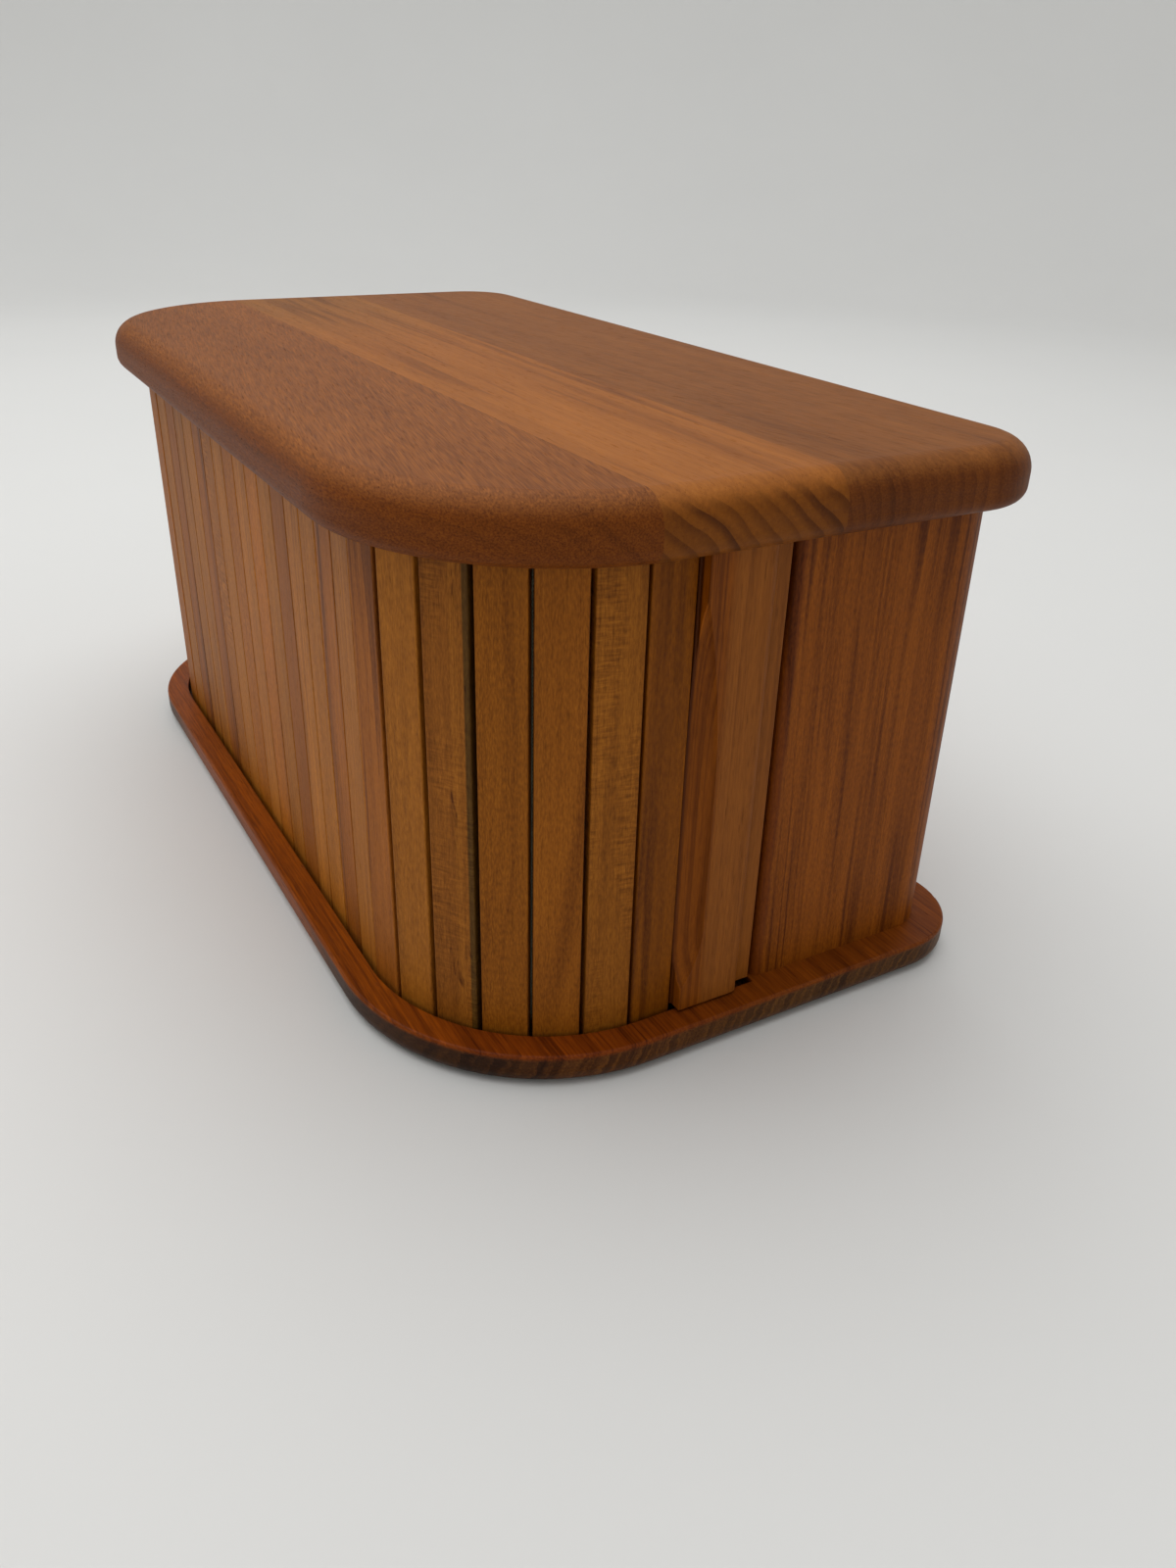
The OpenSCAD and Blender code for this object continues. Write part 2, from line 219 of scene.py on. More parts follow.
class Graph:
    """One material's nodes, from its coordinates to its Principled shader."""

    def __init__(self, name: str) -> None:
        """Start an empty material.

        Args:
            name: The material's name.
        """
        self.material = bpy.data.materials.new(name)
        self.material.use_nodes = True
        self.tree = self.material.node_tree
        self.tree.nodes.clear()

    def node(self, kind: str, settings: Mapping[str, object] | None = None,
             inputs: Mapping[str | int, object] | None = None) -> bpy.types.Node:
        """Add any node.

        Args:
            kind: The node's type.
            settings: What the node itself holds, set first. A ramp's stops are pairs of place and colour.
            inputs: What goes into its sockets, by name or number: a value, a socket or an Amount.

        Returns:
            The node.
        """
        made = self.tree.nodes.new(kind)
        for key, value in (settings or {}).items():
            if key == "stops":
                fill_ramp(made.color_ramp, value)
            else:
                setattr(made, key, value)
        for key, value in (inputs or {}).items():
            source = value.socket if isinstance(value, Amount) else value
            if isinstance(source, Socket):
                self.tree.links.new(source, made.inputs[key])
            else:
                made.inputs[key].default_value = source
        return made

    def place(self, seat: Seat) -> Socket:
        """Object coordinates in millimetres, moved to a piece's centre and turned to its grain.

        Args:
            seat: Where the piece stands, and which way its grain runs.

        Returns:
            A vector: across the grain, in depth, along the grain.
        """
        here = self.node("ShaderNodeTexCoord")
        shift = -(seat.turn @ Vector(seat.centre))
        made = self.node("ShaderNodeMapping", {"vector_type": "POINT"},
                         {"Vector": here.outputs["Object"], "Location": shift, "Rotation": seat.turn.to_euler(),
                          "Scale": (1 / MM, 1 / MM, 1 / MM)})
        return made.outputs["Vector"]

    def axes(self, vector: Socket) -> tuple[Amount, Amount, Amount]:
        """Take a vector apart into its three numbers."""
        made = self.node("ShaderNodeSeparateXYZ", None, {0: vector})
        return Amount(self, made.outputs[0]), Amount(self, made.outputs[1]), Amount(self, made.outputs[2])

    def vector(self, x: Amount | float, y: Amount | float, z: Amount | float) -> Socket:
        """Put three numbers together."""
        return self.node("ShaderNodeCombineXYZ", None, {0: x, 1: y, 2: z}).outputs[0]

    def stretched(self, vector: Socket, scale: Point, shift: Point = (0, 0, 0)) -> Socket:
        """Scale a vector by its own factor on each axis, then shift it."""
        made = self.node("ShaderNodeVectorMath", {"operation": "MULTIPLY_ADD"}, {0: vector, 1: scale, 2: shift})
        return made.outputs[0]

    def noise(self, vector: Socket, pattern: Pattern, shift: Point = (0, 0, 0)) -> Amount:
        """Smooth random amount about 0.5.

        Args:
            vector: Where the surface is.
            pattern: The layer of chance.
            shift: Moves the pattern, to give each piece its own.

        Returns:
            The amount, mostly from 0.3 to 0.7.
        """
        at = self.stretched(vector, tuple(1 / size for size in pattern.size), shift)
        made = self.node("ShaderNodeTexNoise", {"noise_dimensions": "3D"},
                         {"Vector": at, "Scale": 1.0, "Detail": pattern.detail, "Roughness": pattern.rough,
                          "Distortion": pattern.twist})
        return Amount(self, made.outputs[0])

    def mix(self, share: Amount, first: object, second: Colour, blend: Blend = Blend.COVER) -> Socket:
        """Lay one colour over another.

        Args:
            share: How much of the second shows, from 0 to 1.
            first: Colour or socket below.
            second: Colour above.
            blend: How it is laid over.

        Returns:
            The mixed colour.
        """
        made = self.node("ShaderNodeMix", {"data_type": "RGBA", "blend_type": blend.value, "clamp_factor": True},
                         {0: share, 6: first, 7: second})
        return made.outputs[2]

    def ramp(self, amount: Amount, stops: Sequence[tuple[float, Colour]]) -> Socket:
        """Colour read off a ramp."""
        return self.node("ShaderNodeValToRGB", {"stops": stops}, {0: amount}).outputs[0]

    def finish(self, inputs: Mapping[str, object], height: Amount | None = None,
               depth: float = 0) -> bpy.types.Material:
        """Close the material with its Principled shader.

        Args:
            inputs: What goes into the shader's sockets.
            height: Relief over the surface, from 0 to 1.
            depth: How deep the relief is, in millimetres.

        Returns:
            The material.
        """
        relief = {}
        if height is not None:
            made = self.node("ShaderNodeBump", None, {"Height": height, "Distance": depth * MM})
            relief = {"Normal": made.outputs["Normal"]}
        shader = self.node("ShaderNodeBsdfPrincipled", None, {**inputs, **relief})
        self.node("ShaderNodeOutputMaterial", None, {"Surface": shader.outputs[0]})
        return self.material


def fill_ramp(ramp: bpy.types.ColorRamp, stops: Sequence[tuple[float, Colour]]) -> None:
    """Give a ramp its stops.

    Args:
        ramp: The ramp, which starts with two stops.
        stops: Place and colour of each stop, in order.
    """
    while len(ramp.elements) < len(stops):
        ramp.elements.new(1.0)
    for element, (place, colour) in zip(ramp.elements, stops):
        element.position = place
        element.color = colour


# ---- Teak ----


class Grain(Enum):
    """Which way a board's grain runs. The rows are its directions across, in depth and along the grain."""

    ALONG_X = ((0, 1, 0), (0, 0, 1), (1, 0, 0))
    UPRIGHT = ((1, 0, 0), (0, 1, 0), (0, 0, 1))
    UPRIGHT_SIDE = ((0, 1, 0), (-1, 0, 0), (0, 0, 1))

    def turn(self) -> Matrix:
        """Rotation from the frame to the board."""
        return Matrix(self.value)


@dataclass(frozen=True)
class Seat:
    """Where a piece stands in the frame, and the rotation from the frame to its grain."""

    centre: Point
    turn: Matrix


@dataclass(frozen=True)
class Teak:
    """One kind of teak: its colour, and how large and how strong each part of its figure is.

    Gaps, lengths and sizes are in millimetres, and strengths are shares of the way from the darkest to the lightest
    wood. Fleck size is across and along the grain, and tilt is how far the flecks lean, across for each millimetre
    along.
    """

    colour: Colour
    bands: float = 0.4
    band_gap: float = 6.0
    band_length: float = 190
    lines: float = 0.2
    line_gap: float = 3.0
    line_length: float = 260
    line_break: float = 90
    fibres: float = 0.25
    fibre_gap: float = 0.8
    fibre_length: float = 45
    flecks: float = 0.15
    fleck_size: Pair = (0.35, 1.4)
    tilt: float = 0.0
    curl: float = 0.0
    curl_gap: float = 1.3
    curl_width: float = 5
    pores: float = 0.35
    marks: float = 0.0
    roughness: float = 0.5
    relief: float = 0.05

    def tinted(self, red: float, green: float, blue: float) -> Colour:
        """The wood's colour with each channel of its linear light times a factor."""
        return (self.colour[0] * red, self.colour[1] * green, self.colour[2] * blue, 1.0)


@dataclass(frozen=True)
class Cut:
    """How one piece was sawn.

    The heart is where the tree's middle lay from the piece's centre, across and in depth, the slope how far it
    leans for each millimetre along, the waver how far it wanders, and the seed the piece's own share of chance.
    """

    heart: Pair = (40.0, -60.0)
    slope: Pair = (0.0, 0.0)
    waver: float = 1.4
    seed: float = 0.0


@dataclass(frozen=True)
class EndGrain:
    """Growth rings where a board's edge cuts them.

    The gap is their distance in millimetres, and darkens the shares of a ring at which it starts to darken and is
    darkest. Crackle is how far they waver from one millimetre to the next, and strength how much of them shows.
    """

    gap: float = 3.6
    darkens: Fade = (0.3, 0.92)
    crackle: float = 0.0
    strength: float = 1.0


Tint = tuple[Amount, Colour]


class TeakBoard:
    """The finish of one piece of teak, worked out from its cut.

    The values below are common to all teak: the layers of chance, the fades that cut them to shape, how much of
    each shows, and the tones from the darkest wood to the lightest.
    """

    SEED_STEPS = (7.31, 3.77, 11.93)
    WANDER = Pattern((42, 42, 130), detail=3)
    WANDER_ACROSS = 2.2
    WANDER_IN_DEPTH = 0.6
    LINE_EDGE = (0.15, 0.0)
    LINE_SHOWS = (-0.3, 0.35)
    DRIFT = Pattern((26, 26, 60))
    DRIFT_SHARE = 0.9
    CRACKLE = Pattern((2.2, 2.2, 9))
    RING_STOPS = (1.0, 0.95)
    PALEST_RING = 0.3
    MIDDLE = 0.5
    FINE = Pattern((0.2, 0.2, 5))
    FINE_SHARE = 0.1
    CLOUDS = Pattern((34, 34, 110))
    CLOUD_SHARE = 0.1
    PORES = Pattern((0.3, 0.3, 5.5), detail=1)
    PORE_EDGE = (0.3, 0.46)
    CURL_PATCHES = Pattern((9, 9, 42), detail=1)
    CURL_EDGE = (-0.22, 0.2)
    MARKS = Pattern((3.2, 3.2, 16), detail=3, rough=0.6, twist=0.6)
    MARK_EDGE = (0.3, 0.52)
    TONES = ((0.08, (0.42, 0.36, 0.30)), (0.36, (0.80, 0.77, 0.74)), (0.5, (1.0, 1.0, 1.0)),
             (0.66, (1.24, 1.28, 1.32)), (0.95, (1.75, 1.90, 2.1)))
    PORE_TINT = (0.35, 0.30, 0.26)
    FINE_ROUGH = 0.08
    PORE_ROUGH = 0.15
    FINE_HEIGHT = 0.25
    PORE_DEPTH = 0.4
    OILED_IOR = 1.2

    def __init__(self, name: str, teak: Teak, cut: Cut, seat: Seat) -> None:
        """Start the material and find the piece's own directions.

        Args:
            name: The material's name.
            teak: The kind of teak.
            cut: How the piece was sawn.
            seat: Where it stands.
        """
        self.graph = Graph(name)
        self.teak = teak
        self.cut = cut
        self.at = self.graph.place(seat)
        self.across, self.depth, self.along = self.graph.axes(self.at)
        self.shift = tuple(cut.seed * step for step in self.SEED_STEPS)

    def noise(self, pattern: Pattern, at: Socket | None = None) -> Amount:
        """Random amount about 0, mostly from -0.5 to 0.5, at the piece's own coordinates or at others."""
        return (self.graph.noise(at or self.at, pattern, self.shift) - 0.5) * 2.0

    def ring_distance(self) -> Amount:
        """Distance from the tree's heart, in millimetres.

        The distance from a line along the grain, which slopes a little and wanders as a tree does.

        Returns:
            The distance.
        """
        cut = self.cut
        waver = self.noise(self.WANDER) * cut.waver * self.WANDER_ACROSS
        x = self.across - cut.heart[0] + self.along * cut.slope[0] + waver
        y = self.depth - cut.heart[1] + self.along * cut.slope[1] + waver * self.WANDER_IN_DEPTH
        return (x * x + y * y).root()

    def rings(self) -> tuple[Amount, Amount]:
        """Growth rings as slow bands of tone and as thin dark lines.

        Bands are noise over the distance from the heart, so that no two rings are alike. Lines lie where a second
        noise passes through its middle, and come and go along the grain.

        Returns:
            The bands, about 0, and the lines, from 0 to 1.
        """
        teak = self.teak
        ring = self.graph.vector(self.ring_distance(), self.cut.seed, self.along)
        bands = self.noise(Pattern((teak.band_gap, 1, teak.band_length), detail=2.5, rough=0.6), ring)
        pass_by = self.noise(Pattern((teak.line_gap, 1, teak.line_length), detail=1), ring)
        strength = self.noise(Pattern((teak.line_gap * 2, 1, teak.line_break), detail=1), ring)
        return bands, abs(pass_by).rise(*self.LINE_EDGE) * strength.rise(*self.LINE_SHOWS)

    def end_rings(self, style: EndGrain) -> Amount:
        """Growth rings as the end grain shows them: each darkens outwards and stops at a sharp line.

        Args:
            style: How the rings look.

        Returns:
            Darkness from 0 to 1.
        """
        place = self.ring_distance() / style.gap + self.noise(self.DRIFT) * self.DRIFT_SHARE
        if style.crackle:
            place = place + self.noise(self.CRACKLE) * style.crackle
        over = place.part()
        chance = self.graph.node("ShaderNodeTexWhiteNoise", {"noise_dimensions": "1D"},
                                 {"W": place.whole() + self.cut.seed})
        own = Amount(self.graph, chance.outputs["Value"]) * (1 - self.PALEST_RING) + self.PALEST_RING
        return over.rise(*style.darkens) * over.rise(*self.RING_STOPS) * own

    def figure(self) -> tuple[Amount, Amount, Amount]:
        """Lightness of the wood, its pores and its fine fibres.

        Returns:
            Lightness from 0 to 1, pores from 0 to 1, and fibres about 0.
        """
        teak = self.teak
        wide, long = teak.fleck_size
        leaning = self.graph.vector(self.across + self.along * teak.tilt, self.depth, self.along)
        bands, lines = self.rings()
        fibre = self.noise(Pattern((teak.fibre_gap, teak.fibre_gap, teak.fibre_length), detail=4, rough=0.62))
        fine = self.noise(self.FINE)
        pore = self.noise(self.PORES, leaning).rise(*self.PORE_EDGE)
        fleck = self.noise(Pattern((wide, wide, long), detail=1.5, rough=0.55, twist=0.12), leaning)
        tone = self.MIDDLE + bands * teak.bands - lines * teak.lines + fibre * teak.fibres
        tone = tone + fine * self.FINE_SHARE + self.noise(self.CLOUDS) * self.CLOUD_SHARE + fleck * teak.flecks
        if teak.curl:
            bars = self.noise(Pattern((teak.curl_width, teak.curl_width, teak.curl_gap), rough=0.65))
            tone = tone + bars * self.noise(self.CURL_PATCHES).rise(*self.CURL_EDGE) * teak.curl
        if teak.marks:
            tone = tone - self.noise(self.MARKS).rise(*self.MARK_EDGE) * teak.marks
        return tone, pore, fine

    def dress(self, tints: Sequence[Tint] = ()) -> bpy.types.Material:
        """Put the figure, the pores and the tints together.

        Args:
            tints: Where each tint lies, from 0 to 1, and the colour that multiplies the wood's there.

        Returns:
            The finished material.
        """
        graph, teak = self.graph, self.teak
        tone, pore, fine = self.figure()
        colour = graph.ramp(tone, [(place, teak.tinted(*tint)) for place, tint in self.TONES])
        colour = graph.mix(pore * teak.pores, colour, teak.tinted(*self.PORE_TINT))
        for where, tint in tints:
            colour = graph.mix(where, colour, tint, Blend.TINT)
        rough = teak.roughness + fine * self.FINE_ROUGH + pore * self.PORE_ROUGH
        height = self.MIDDLE + fine * self.FINE_HEIGHT - pore * self.PORE_DEPTH
        return graph.finish({"Base Color": colour, "Roughness": rough, "IOR": self.OILED_IOR}, height, teak.relief)


# ---- Sizes shared with the part's source ----


@dataclass(frozen=True)
class Stretch:
    """One stretch of the curtain's path: straight where its radius is 0, and else an arc.

    X and Y are a straight's start or an arc's centre, and towards is a straight's heading, or the angle from the
    centre at which an arc starts, in degrees.
    """

    length: float
    radius: float
    x: float
    y: float
    towards: float


@dataclass(frozen=True)
class BoxSizes:
    """The sizes of the CAD model that the looks need, in millimetres and degrees, as part.scad names them."""

    board_l: float = 290
    board_w: float = 156
    front_r: float = 55
    base_t: float = 8.5
    top_t: float = 13.5
    front_stave_w: float = 50
    back_stave_w: float = 63
    clear_h: float = 112.5
    rim: float = 8.5
    panel_t: float = 7.5
    right_panel_l: float = 58.8
    left_panel_l: float = 58
    slat_t: float = 3.2
    slat_gap: float = 0.3
    close_gap: float = 1.55
    tail_reach: float = 38
    easy_turn: float = 60
    inner_turn_r: float = 40
    backing_t: float = 0.5
    backing_short: float = 1
    lead_w: float = 22.75
    groove_out: float = 1.3
    panel_clear: float = 0.2
    glue: float = 0.05
    slat_count: int = 33

    @property
    def body_x(self) -> float:
        """From the middle to the body's outer face, along the box."""
        return self.board_l / 2 - self.rim

    @property
    def body_y(self) -> float:
        """From the middle to the body's outer face, across the box."""
        return self.board_w / 2 - self.rim

    @property
    def middle_z(self) -> float:
        """Height of the middle of the slats and the panels."""
        return self.base_t + self.clear_h / 2

    @property
    def under_top_z(self) -> float:
        """Height of the underside of the top board."""
        return self.base_t + self.clear_h

    @property
    def top_z(self) -> float:
        """Height of the middle of the top board."""
        return self.under_top_z + self.top_t / 2


class CurtainPath:
    """The line of the slats' back faces, clockwise seen from above, from the right panel's edge."""

    def __init__(self, sizes: BoxSizes) -> None:
        """Work out the stretches that the slats reach at rest, as part.scad does.

        Args:
            sizes: The box's sizes.
        """
        front_body_r = sizes.front_r - sizes.rim
        corner_x = sizes.body_x - front_body_r
        corner_y = -sizes.body_y + front_body_r
        run_y = sizes.body_y - sizes.panel_t - sizes.groove_out - sizes.panel_clear
        swing = math.sin(math.radians(sizes.easy_turn))
        easy_r = sizes.inner_turn_r + (run_y - sizes.inner_turn_r - corner_y) / swing
        path_r = front_body_r - sizes.slat_t
        quarter = path_r * math.pi / 2
        start_y = sizes.body_y - sizes.right_panel_l
        easy = (easy_r - sizes.slat_t) * math.radians(sizes.easy_turn)
        self.sizes = sizes
        self.stretches = (
            Stretch(start_y - corner_y, 0, sizes.body_x - sizes.slat_t, start_y, -90),
            Stretch(quarter, path_r, corner_x, corner_y, 0),
            Stretch(2 * corner_x, 0, corner_x, -sizes.body_y + sizes.slat_t, 180),
            Stretch(quarter, path_r, -corner_x, corner_y, -90),
            Stretch(easy, easy_r - sizes.slat_t, -sizes.body_x + easy_r, corner_y, 180),
        )
        self.slats_from = sizes.close_gap + sizes.lead_w + sizes.slat_gap / 2
        before_tail = sum(stretch.length for stretch in self.stretches[:-1])
        self.pitch = (before_tail + sizes.tail_reach - self.slats_from) / sizes.slat_count

    def find(self, s: float) -> tuple[float, float, float]:
        """Place and heading at the length s along the path.

        On a straight the place is its start plus the length left, on an arc its centre plus the radius at the
        angle turned back by that length.

        Args:
            s: Length along the path, in millimetres.

        Returns:
            X and Y in millimetres and the heading in degrees.
        """
        left = s
        for stretch in self.stretches:
            if left <= stretch.length or stretch is self.stretches[-1]:
                break
            left -= stretch.length
        if stretch.radius == 0:
            a = math.radians(stretch.towards)
            return stretch.x + left * math.cos(a), stretch.y + left * math.sin(a), stretch.towards
        a = math.radians(stretch.towards) - left / stretch.radius
        x = stretch.x + stretch.radius * math.cos(a)
        y = stretch.y + stretch.radius * math.sin(a)
        return x, y, math.degrees(a) - 90

    def slat_middle(self, index: int) -> float:
        """Length along the path to the middle of a slat, counted from 1."""
        return self.slats_from + (index - 0.5) * self.pitch

    def slat_edge(self, index: int) -> float:
        """Length along the path to the far edge of a slat, counted from 1."""
        return self.slats_from + index * self.pitch

    def seat(self, s: float) -> Seat:
        """Seat of a slat whose middle is at the length s: across is the way it opens, depth is outwards."""
        x, y, heading = self.find(s)
        return Seat((x, y, self.sizes.middle_z), Matrix.Rotation(-math.radians(heading), 3, "Z"))


# ---- The pieces ----

SMOOTH = Teak(stain(153, 90, 25), bands=0.2, band_gap=9, lines=0.14, fibres=0.2, flecks=0.3)
FLAMED = Teak(stain(149, 83, 18), bands=0.2, band_gap=7, lines=0.3, line_gap=5, fibres=0.18, flecks=0.34)
CURLY = Teak(stain(147, 84, 21), bands=0.2, lines=0.2, flecks=0.3, curl=0.5, curl_gap=0.8, marks=0.25)
MOTTLED = Teak(stain(145, 81, 16), bands=0.25, band_gap=8, lines=0.12, fibres=0.15, flecks=0.42)
MARKED = Teak(stain(138, 78, 22), bands=0.3, lines=0.15, flecks=0.3, curl=0.5, curl_gap=0.7, marks=0.5)
STRAIGHT = Teak(stain(156, 92, 28), bands=0.3, band_gap=4, lines=0.3, line_gap=2, fibres=0.36, flecks=0.24)
DUSKY = Teak(stain(124, 65, 4), bands=0.2, band_gap=7, lines=0.3, line_gap=5, flecks=0.28)
UMBER = Teak(stain(140, 77, 20), bands=0.4, band_gap=5, lines=0.35, line_gap=3.4, fibres=0.3, flecks=0.24)


@dataclass
class Frame:
    """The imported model: its nodes by name."""

    nodes: dict[str, bpy.types.Object]

    def coat(self, node: str, material: bpy.types.Material) -> None:
        """Give a CAD node its finish in every material slot.

        Args:
            node: The node's name.
            material: The finish.
        """
        piece = self.nodes[node]
        if not piece.material_slots:
            piece.data.materials.append(material)
        for slot in piece.material_slots:
            slot.material = material
        LOG.info("%s: %s", node, material.name)


@dataclass(frozen=True)
class Stave:
    """One stave of the top board: its wood, the tint and end grain of its edge, and whether it gets painted shade
    far off.
    """

    teak: Teak
    cut: Cut
    # Tint of the edge: partly the oiled edge's own darker colour, partly painted shade on the board's side faces.
    edge: Colour
    rings: EndGrain
    far_shaded: bool = False


@dataclass
class Boards:
    """The base board and the top board's three staves, all with their grain along the box.

    Fades on an edge are depths inside the board's upper face. All others are places across or along the box.
    """

    frame: Frame
    sizes: BoxSizes
    front: Stave = Stave(
        Teak(stain(125, 70, 22), bands=0.16, band_gap=9, lines=0.05, fibres=0.12, flecks=0.52, fleck_size=(0.36, 8),
             tilt=0.2, pores=0.6, roughness=0.52),
        Cut((-30.0, -70.0), (0.02, 0.0), 2.4, 2), (0.75, 0.61, 0.31, 1.0), EndGrain(strength=0.3))
    middle: Stave = Stave(
        Teak(stain(147, 86, 28), bands=0.2, band_gap=3.2, lines=0.26, line_gap=3.4, fibres=0.2, fibre_gap=1.1,
             flecks=0.12, fleck_size=(0.6, 6), roughness=0.52),
        Cut((-62.0, -62.0), (0.0, 0.01), 1.2, 3), (0.64, 0.57, 0.33, 1.0), EndGrain(), far_shaded=True)
    back: Stave = Stave(
        Teak(stain(124, 72, 25), bands=0.2, band_gap=7, lines=0.1, fibres=0.16, flecks=0.3, fleck_size=(0.45, 9),
             tilt=-0.3, roughness=0.52),
        Cut((-96.0, -12.0), (0.0, 0.03), 2.2, 4), (0.68, 0.54, 0.31, 1.0), EndGrain(strength=0.5))
    top_edge: Fade = (0.8, 4.5)
    ring: Colour = (0.34, 0.30, 0.28, 1.0)
    # Painted shade: the middle stave is tinted darker and cooler towards its far end.
    grey: Colour = (0.80, 0.88, 1.0, 1.0)
    far_shade_along: Fade = (-10, -135)
    base: Teak = Teak(stain(117, 51, 5), bands=0.25, band_gap=6, lines=0.3, line_gap=2, fibres=0.5, fibre_gap=0.6,
                      flecks=0.3, fleck_size=(0.4, 6), pores=0.6, roughness=0.42)
    base_cut: Cut = Cut((230.0, -90.0), waver=1.8, seed=1)
    base_rings: EndGrain = EndGrain(2.6, (0.12, 0.4), crackle=0.5, strength=0.85)
    base_side: Fade = (0.4, 1.6)
    base_edge: Colour = (0.72, 1.18, 2.8, 1.0)
    edge_along: Fade = (50, 95)
    rings_along: Fade = (108, 120)
    # Painted shade on the base's front side faces towards both ends.
    corner: Colour = (0.42, 0.45, 0.75, 1.0)
    corner_shade_across: Fade = (-35, -62)
    rear: Colour = (0.95, 1.15, 1.4, 1.0)
    rear_across: Fade = (-50, 30)
    front_rim: Colour = (1.3, 1.5, 0.5, 1.0)
    front_rim_across: Fade = (-48, -64)
    front_rim_along: Fade = (135, 95)

    def dress_top(self) -> None:
        """Dress the three staves, with end grain on their edges, which drink more oil, and painted shade there too.
        """
        sizes = self.sizes
        half = sizes.board_w / 2
        seams = (-half, -half + sizes.front_stave_w, half - sizes.back_stave_w, half)
        staves = {"top_front_stave": self.front, "top_middle_stave": self.middle, "top_back_stave": self.back}
        for (node, stave), near, far in zip(staves.items(), seams, seams[1:]):
            seat = Seat((0.0, (near + far) / 2, sizes.top_z), Grain.ALONG_X.turn())
            board = TeakBoard(f"teak_{node}", stave.teak, stave.cut, seat)
            # The edge band is partly the oiled wood's own darker colour and partly painted shade on the side faces.
            edge = board.depth.rise(*inside(sizes.top_t / 2, self.top_edge))
            rings = edge * board.end_rings(stave.rings) * stave.rings.strength
            tints = [(edge, stave.edge), (rings, self.ring)]
            # Painted shade, darker and cooler towards the stave's far end.
            if stave.far_shaded:
                tints.append((board.along.rise(*self.far_shade_along), self.grey))
            self.frame.coat(node, board.dress(tints))

    def dress_base(self) -> None:
        """Dress the base board: end grain at its ends, tints where its colour changes, painted shade at front
        corners.
        """
        middle = self.sizes.base_t / 2
        base = TeakBoard("teak_base_board", self.base, self.base_cut, Seat((0.0, 0.0, middle), Grain.ALONG_X.turn()))
        side = base.depth.rise(*inside(middle, self.base_side))
        reach = abs(base.along)
        edge = side * reach.rise(*self.edge_along)
        # Painted shade on the front side faces towards both ends.
        corner = edge * base.across.rise(*self.corner_shade_across)
        rings = side * reach.rise(*self.rings_along) * base.end_rings(self.base_rings) * self.base_rings.strength
        rear = base.across.rise(*self.rear_across)
        front = base.across.rise(*self.front_rim_across) * base.along.rise(*self.front_rim_along) * (1.0 - edge)
        tints = [(edge, self.base_edge), (corner, self.corner), (rear, self.rear), (front, self.front_rim)]
        self.frame.coat("base_board", base.dress([*tints, (rings, self.ring)]))


@dataclass
class Panels:
    """The three fixed panels, with upright grain."""

    frame: Frame
    sizes: BoxSizes
    teak: Teak = Teak(stain(134, 70, 11), bands=0.3, band_gap=5, lines=0.45, line_gap=3.2, fibres=0.32,
                      fibre_gap=0.6, flecks=0.34)
    rear: Teak = Teak(stain(138, 73, 17), bands=0.24, band_gap=8, lines=0.2, line_gap=6, fibres=0.2,
                      flecks=0.34)
    right_cut: Cut = Cut((160.0, 30.0), (0.015, 0.0), 1.6, 5)
    back_cut: Cut = Cut((-40.0, -50.0), (0.0, 0.02), 2.0, 6)
    left_cut: Cut = Cut((-150.0, 30.0), (0.01, 0.0), 1.6, 7)
    # Painted shade along the panel's edge by the curtain's gap, broken up by noise.
    edge_shade: Colour = (0.68, 0.58, 0.6, 1.0)
    edge_shade_from_edge: Fade = (3.0, 1.8)
    shade_wobble: Pattern = Pattern((2, 2, 12))

    def dress(self) -> None:
        """Give each panel its own cut and painted shade along the edge where the curtain meets the side panels."""
        sizes = self.sizes
        x = sizes.body_x - sizes.panel_t / 2
        y = sizes.body_y - sizes.panel_t / 2
        z = sizes.middle_z
        right_half, left_half = sizes.right_panel_l / 2, sizes.left_panel_l / 2
        rows = {
            "right_panel": (self.teak, self.right_cut, (x, sizes.body_y - right_half, z), Grain.UPRIGHT_SIDE,
                            right_half),
            "back_panel": (self.rear, self.back_cut, (0.0, y, z), Grain.UPRIGHT, sizes.body_x),
            "left_panel": (self.rear, self.left_cut, (-x, sizes.body_y - left_half, z), Grain.UPRIGHT_SIDE,
                           left_half),
        }
        for node, (teak, cut, centre, grain, half) in rows.items():
            board = TeakBoard(f"teak_{node}", teak, cut, Seat(centre, grain.turn()))
            start, full = self.edge_shade_from_edge
            # Painted shade along the panel's edge by the curtain, broken up by noise.
            where = (board.across + board.noise(self.shade_wobble)).rise(start - half, full - half)
            self.frame.coat(node, board.dress([(where, self.edge_shade)]))


